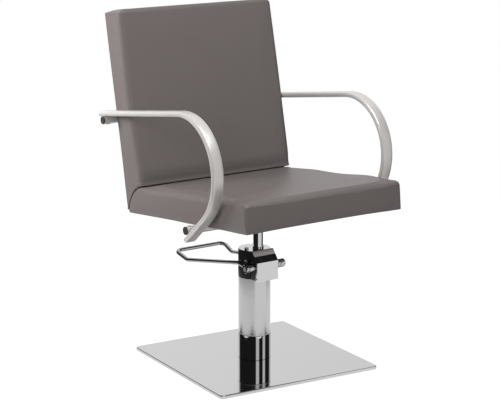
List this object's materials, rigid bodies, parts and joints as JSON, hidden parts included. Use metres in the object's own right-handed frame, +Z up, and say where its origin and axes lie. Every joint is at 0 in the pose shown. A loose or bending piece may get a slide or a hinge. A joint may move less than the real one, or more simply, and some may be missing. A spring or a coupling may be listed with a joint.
{
  "type": "hairdressing chair",
  "caption": "Padded salon chair with looped arms that turns and rises on a pedal-pumped column above a square floor plate.",
  "frame": {"origin": "on the floor, on the axis of the column", "axes": "+Z up, -Y the way the sitter faces, +X to the sitter's left"},
  "size_m": [0.594, 0.6785, 0.9743],
  "materials": {
    "plate_chrome": "mirror polished",
    "pad_rubber": "matt",
    "bolt_steel": "zinc plated",
    "foot_steel": "machined",
    "collar_chrome": "mirror polished",
    "sleeve_satin": "satin",
    "head_black": "gloss black",
    "cap_chrome": "polished",
    "cover_metal": "polished",
    "rod_chrome": "hard chromed",
    "pedal_chrome": "polished",
    "bearing_bronze": "machined",
    "seal_rubber": "matt",
    "mount_black": "satin black",
    "saddle_steel": "zinc plated",
    "board_wood": "raw plywood",
    "dust_cloth": "non-woven",
    "seat_leather": "smooth, semi-gloss",
    "arm_metal": "satin, pale champagne grey",
    "plug_plastic": "matt"
  },
  "bodies": {
    "base": {"base_plate": "plate_chrome", "floor_pad": "pad_rubber", "base_bolts": "bolt_steel", "column_foot": "foot_steel", "base_collar": "collar_chrome", "column_sleeve": "sleeve_satin", "pump_cylinder": "foot_steel", "pump_head": "head_black", "head_cap": "cap_chrome", "rod_gland": "cap_chrome", "wiper_seal": "seal_rubber", "rod_bush": "bearing_bronze", "head_cover": "cover_metal", "cover_screws": "bolt_steel", "filler_plug": "bolt_steel", "side_plug": "bolt_steel", "shaft_bushes": "foot_steel"},
    "pedal": {"pedal_shaft": "foot_steel", "pedal_cam": "foot_steel", "pedal_hub_left": "pedal_chrome", "pedal_hub_right": "pedal_chrome", "hub_screws": "bolt_steel", "pedal_loop": "pedal_chrome"},
    "plunger": {"pump_plunger": "foot_steel", "plunger_spring": "foot_steel"},
    "lift": {"lift_rod": "rod_chrome", "piston": "bearing_bronze", "piston_seal": "seal_rubber", "swivel_washer": "bearing_bronze"},
    "seat": {"seat_mount": "mount_black", "mount_screws": "bolt_steel", "seat_board": "board_wood", "seat_underside_cloth": "dust_cloth", "seat_cushion": "seat_leather", "back_board": "board_wood", "back_panel": "seat_leather", "back_cushion": "seat_leather", "back_straps": "mount_black", "strap_screws": "bolt_steel", "front_cross_tube": "arm_metal", "rear_cross_tube": "arm_metal", "tube_plugs": "plug_plastic", "front_saddles": "saddle_steel", "rear_saddles": "saddle_steel", "saddle_screws": "bolt_steel", "armrest_left": "arm_metal", "armrest_right": "arm_metal", "arm_bolts": "arm_metal"}
  },
  "joints": [
    {"name": "lift", "type": "slide", "parent": "base", "child": "lift", "axis": [0, 0, 1], "range_m": [0, 0.13]},
    {"name": "seat_swivel", "type": "hinge", "parent": "lift", "child": "seat", "pos_m": [0, -0.017, 0.376], "axis": [0, 0, 1], "continuous": true},
    {"name": "pedal", "type": "hinge", "parent": "base", "child": "pedal", "pos_m": [0, -0.046, 0.283], "axis": [-1, 0, 0], "range_deg": [-8, 22], "stiffness_Nm_per_rad": 12, "springref_deg": -5.16},
    {"name": "plunger", "type": "slide", "parent": "base", "child": "plunger", "axis": [0, 0, -1], "range_m": [-0.0026, 0.0072], "deforming": ["plunger_spring"]}
  ],
  "couplings": [
    {"joint": "plunger", "follows": "pedal", "m_per_rad": 0.018}
  ]
}
